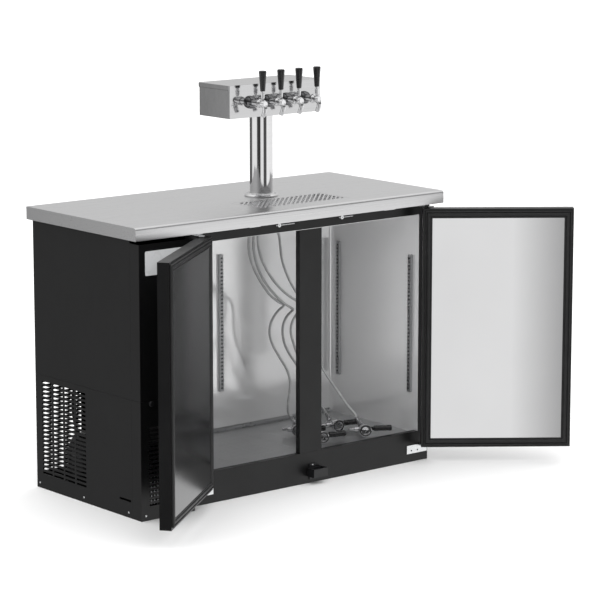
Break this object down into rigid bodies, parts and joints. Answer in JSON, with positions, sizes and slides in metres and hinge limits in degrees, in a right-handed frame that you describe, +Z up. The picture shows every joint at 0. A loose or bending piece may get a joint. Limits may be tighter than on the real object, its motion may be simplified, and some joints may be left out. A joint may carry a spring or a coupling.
{
  "type": "kegerator",
  "caption": "Refrigerated back-bar keg cabinet with hinged doors, side machine bay, stainless worktop, drip grate, beer tower with taps, and beer lines to keg couplers.",
  "frame": {"origin": "middle of the cabinet's footprint, on the floor", "axes": "+X to the right of a person facing the doors, +Y to the back, +Z up; the doors face -Y"},
  "size_m": [1.724, 0.897, 1.3525],
  "materials": {
    "black_steel": "black textured powder coat",
    "stainless": "brushed",
    "polished_tube": "polished",
    "liner": "bright rolled sheet",
    "gasket": "soft vinyl",
    "zinc": "bright zinc plate",
    "black_plastic": "satin moulded",
    "compressor_shell": "black enamel",
    "fins": "mill finish fins",
    "chrome": "polished chrome plate",
    "hose": "translucent grey beer tubing"
  },
  "bodies": {
    "cabinet": {"worktop": "stainless", "drip_tray": "stainless", "wall_floor": "black_steel", "wall_rear": "black_steel", "wall_ceiling": "black_steel", "wall_right": "black_steel", "wall_divider": "black_steel", "mullion": "black_steel", "interior_liner": "liner", "pilaster_rear": "liner", "pilaster_right_rear": "liner", "pilaster_right_front": "liner", "bay_side_panel": "black_steel", "bay_vent_panel": "black_steel", "bay_front_panel": "black_steel", "bay_front_grille": "black_steel", "bay_base": "black_steel", "bay_rear_grille": "black_steel", "power_gland": "black_plastic", "compressor": "compressor_shell", "condenser": "fins", "evaporator": "liner", "controller": "black_plastic", "left_hinge_lower": "zinc", "left_hinge_upper": "zinc", "right_hinge_lower": "zinc", "right_hinge_upper": "zinc", "lock_keeper": "black_plastic", "tower_column": "polished_tube", "tower_head": "stainless", "faucet_1": "chrome", "faucet_2": "chrome", "faucet_3": "chrome", "faucet_4": "chrome", "coupler_1": "chrome", "coupler_2": "chrome", "coupler_3": "chrome", "coupler_4": "chrome", "beer_line_1": "hose", "beer_line_2": "hose", "beer_line_3": "hose", "beer_line_4": "hose"},
    "left_door": {"left_door_shell": "black_steel", "left_door_gasket": "gasket", "left_door_liner": "liner"},
    "right_door": {"right_door_shell": "black_steel", "right_door_gasket": "gasket", "right_door_liner": "liner"},
    "grate": {"drip_grate": "stainless"},
    "rocker": {"power_switch": "black_plastic"},
    "condenser_fan": {"condenser_fan": "black_plastic"},
    "evaporator_fan": {"evaporator_fan": "black_plastic"},
    "tap_lever_1": {"tap_handle_1": "black_plastic"},
    "keg_lever_1": {"coupler_lever_1": "black_plastic"},
    "tap_lever_2": {"tap_handle_2": "black_plastic"},
    "keg_lever_2": {"coupler_lever_2": "black_plastic"},
    "tap_lever_3": {"tap_handle_3": "black_plastic"},
    "keg_lever_3": {"coupler_lever_3": "black_plastic"},
    "tap_lever_4": {"tap_handle_4": "black_plastic"},
    "keg_lever_4": {"coupler_lever_4": "black_plastic"}
  },
  "joints": [
    {"name": "left_door_hinge", "type": "hinge", "parent": "cabinet", "child": "left_door", "pos_m": [-0.38, -0.284, 0], "axis": [0, 0, 1], "range_deg": [0, 142]},
    {"name": "right_door_hinge", "type": "hinge", "parent": "cabinet", "child": "right_door", "pos_m": [0.582, -0.284, 0], "axis": [0, 0, 1], "range_deg": [-142, 0]},
    {"name": "grate_lift", "type": "slide", "parent": "cabinet", "child": "grate", "axis": [0, 0, 1], "range_m": [0, 0.08]},
    {"name": "power_rocker", "type": "hinge", "parent": "cabinet", "child": "rocker", "pos_m": [-0.471, -0.2968, 0.345], "axis": [1, 0, 0], "range_deg": [0, 14]},
    {"name": "condenser_fan_spin", "type": "hinge", "parent": "cabinet", "child": "condenser_fan", "pos_m": [-0.512, -0.216, 0.13], "axis": [0, 1, 0], "continuous": true},
    {"name": "evaporator_fan_spin", "type": "hinge", "parent": "cabinet", "child": "evaporator_fan", "pos_m": [-0.309, 0.02, 0.69], "axis": [1, 0, 0], "continuous": true},
    {"name": "tap_1_pull", "type": "hinge", "parent": "cabinet", "child": "tap_lever_1", "pos_m": [-0.0175, -0.146, 1.265], "axis": [1, 0, 0], "range_deg": [0, 35]},
    {"name": "tap_2_pull", "type": "hinge", "parent": "cabinet", "child": "tap_lever_2", "pos_m": [0.0577, -0.146, 1.265], "axis": [1, 0, 0], "range_deg": [0, 35]},
    {"name": "tap_3_pull", "type": "hinge", "parent": "cabinet", "child": "tap_lever_3", "pos_m": [0.1329, -0.146, 1.265], "axis": [1, 0, 0], "range_deg": [0, 35]},
    {"name": "tap_4_pull", "type": "hinge", "parent": "cabinet", "child": "tap_lever_4", "pos_m": [0.2081, -0.146, 1.265], "axis": [1, 0, 0], "range_deg": [0, 35]},
    {"name": "keg_lever_1_swing", "type": "hinge", "parent": "cabinet", "child": "keg_lever_1", "pos_m": [0.25051, -0.01246, 0.1173], "axis": [0, 0, 1], "range_deg": [-20, 15]},
    {"name": "keg_lever_2_swing", "type": "hinge", "parent": "cabinet", "child": "keg_lever_2", "pos_m": [0.39243, -0.03701, 0.1173], "axis": [0, 0, 1], "range_deg": [-20, 15]},
    {"name": "keg_lever_3_swing", "type": "hinge", "parent": "cabinet", "child": "keg_lever_3", "pos_m": [0.24043, -0.13701, 0.1173], "axis": [0, 0, 1], "range_deg": [-20, 15]},
    {"name": "keg_lever_4_swing", "type": "hinge", "parent": "cabinet", "child": "keg_lever_4", "pos_m": [0.42153, -0.15606, 0.1173], "axis": [0, 0, 1], "range_deg": [-20, 15]}
  ]
}
